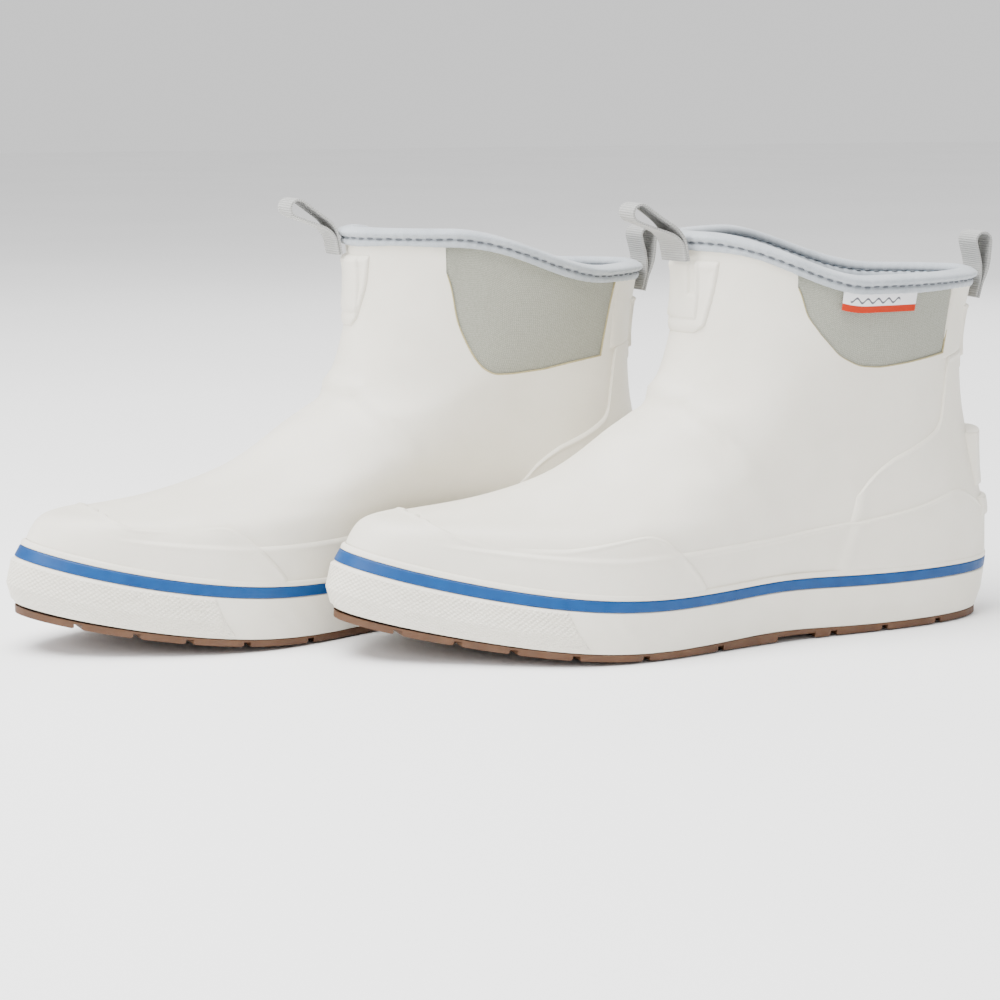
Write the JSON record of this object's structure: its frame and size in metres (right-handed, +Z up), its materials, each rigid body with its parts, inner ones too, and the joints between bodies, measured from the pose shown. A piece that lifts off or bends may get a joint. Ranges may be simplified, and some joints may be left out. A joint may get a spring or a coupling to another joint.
{
  "type": "deck boots",
  "caption": "Ankle-high pull-on rubber deck boots: grooved gum soles, striped foxing, stretch knit side gores, padded bound collars and webbing pull loops.",
  "frame": {"origin": "centre of the pair's footprint, on the ground under the soles", "axes": "+Z up, -Y the way the toes point, +X towards the outer side of the left boot; the right boot stands on the -X side, a step towards -Y and turned a little toe inwards"},
  "size_m": [0.1792, 0.4202, 0.1802],
  "materials": {
    "white_rubber": "matte moulded and dipped rubber, warm off-white",
    "blue_rubber": "satin rubber strip, mid blue",
    "gum_rubber": "matte gum rubber, brown",
    "binding": "knit-faced neoprene, light bluish grey",
    "gore": "ribbed stretch knit, grey-green",
    "lining": "brushed knit on thin neoprene, grey-blue",
    "webbing": "ribbed woven tape, light grey",
    "label": "flat moulded label, white with an orange-red stripe",
    "foam": "closed-cell foam, grey",
    "board": "pressed fibre board, tan",
    "steel": "rolled strip"
  },
  "bodies": {
    "left_boot": {"left_outsole": "gum_rubber", "left_midsole": "foam", "left_shank": "steel", "left_insole_board": "board", "left_foxing_band": "white_rubber", "left_stripe_band": "blue_rubber", "left_foxing_bead": "white_rubber", "left_toe_bumper": "white_rubber", "left_rubber_upper": "white_rubber", "left_toe_cap": "white_rubber", "left_side_guard": "white_rubber", "left_heel_counter": "white_rubber", "left_back_stay": "white_rubber", "left_heel_kick_tab": "white_rubber", "left_heel_rib": "white_rubber", "left_front_pull_patch": "white_rubber", "left_rear_pull_patch": "white_rubber", "left_collar_binding": "binding", "left_lining": "lining", "left_lateral_gore": "gore", "left_medial_gore": "gore", "left_side_label": "label", "left_toe_puff": "board", "left_heel_stiffener": "board"},
    "left_front_pull": {"left_front_pull_loop": "webbing"},
    "left_rear_pull": {"left_rear_pull_loop": "webbing"},
    "left_insole": {"left_footbed": "foam"},
    "right_boot": {"right_outsole": "gum_rubber", "right_midsole": "foam", "right_shank": "steel", "right_insole_board": "board", "right_foxing_band": "white_rubber", "right_stripe_band": "blue_rubber", "right_foxing_bead": "white_rubber", "right_toe_bumper": "white_rubber", "right_rubber_upper": "white_rubber", "right_toe_cap": "white_rubber", "right_side_guard": "white_rubber", "right_heel_counter": "white_rubber", "right_back_stay": "white_rubber", "right_heel_kick_tab": "white_rubber", "right_heel_rib": "white_rubber", "right_front_pull_patch": "white_rubber", "right_rear_pull_patch": "white_rubber", "right_collar_binding": "binding", "right_lining": "lining", "right_lateral_gore": "gore", "right_medial_gore": "gore", "right_side_label": "label", "right_toe_puff": "board", "right_heel_stiffener": "board"},
    "right_front_pull": {"right_front_pull_loop": "webbing"},
    "right_rear_pull": {"right_rear_pull_loop": "webbing"},
    "right_insole": {"right_footbed": "foam"}
  },
  "joints": [
    {"name": "right_boot_lift", "type": "slide", "parent": "left_boot", "child": "right_boot", "axis": [0, 0, 1], "range_m": [0, 0.15]},
    {"name": "left_front_pull_turn", "type": "hinge", "parent": "left_boot", "child": "left_front_pull", "pos_m": [0.04236, 0.05831, 0.15623], "axis": [1, 0, 0], "range_deg": [-5, 110]},
    {"name": "left_rear_pull_turn", "type": "hinge", "parent": "left_boot", "child": "left_rear_pull", "pos_m": [0.03475, 0.20056, 0.13834], "axis": [-1, 0, 0], "range_deg": [0, 130]},
    {"name": "left_footbed_heel_lift", "type": "hinge", "parent": "left_boot", "child": "left_insole", "pos_m": [0.03185, -0.07769, 0.03617], "axis": [1, 0, 0], "range_deg": [0, 4]},
    {"name": "right_front_pull_turn", "type": "hinge", "parent": "right_boot", "child": "right_front_pull", "pos_m": [-0.04512, -0.06292, 0.15623], "axis": [0.9965, 0.0837, 0], "range_deg": [-5, 110]},
    {"name": "right_rear_pull_turn", "type": "hinge", "parent": "right_boot", "child": "right_rear_pull", "pos_m": [-0.04944, 0.07946, 0.13834], "axis": [-0.9965, -0.0837, 0], "range_deg": [0, 130]},
    {"name": "right_footbed_heel_lift", "type": "hinge", "parent": "right_boot", "child": "right_insole", "pos_m": [-0.02326, -0.19757, 0.03617], "axis": [0.9965, 0.0837, 0], "range_deg": [0, 4]}
  ]
}
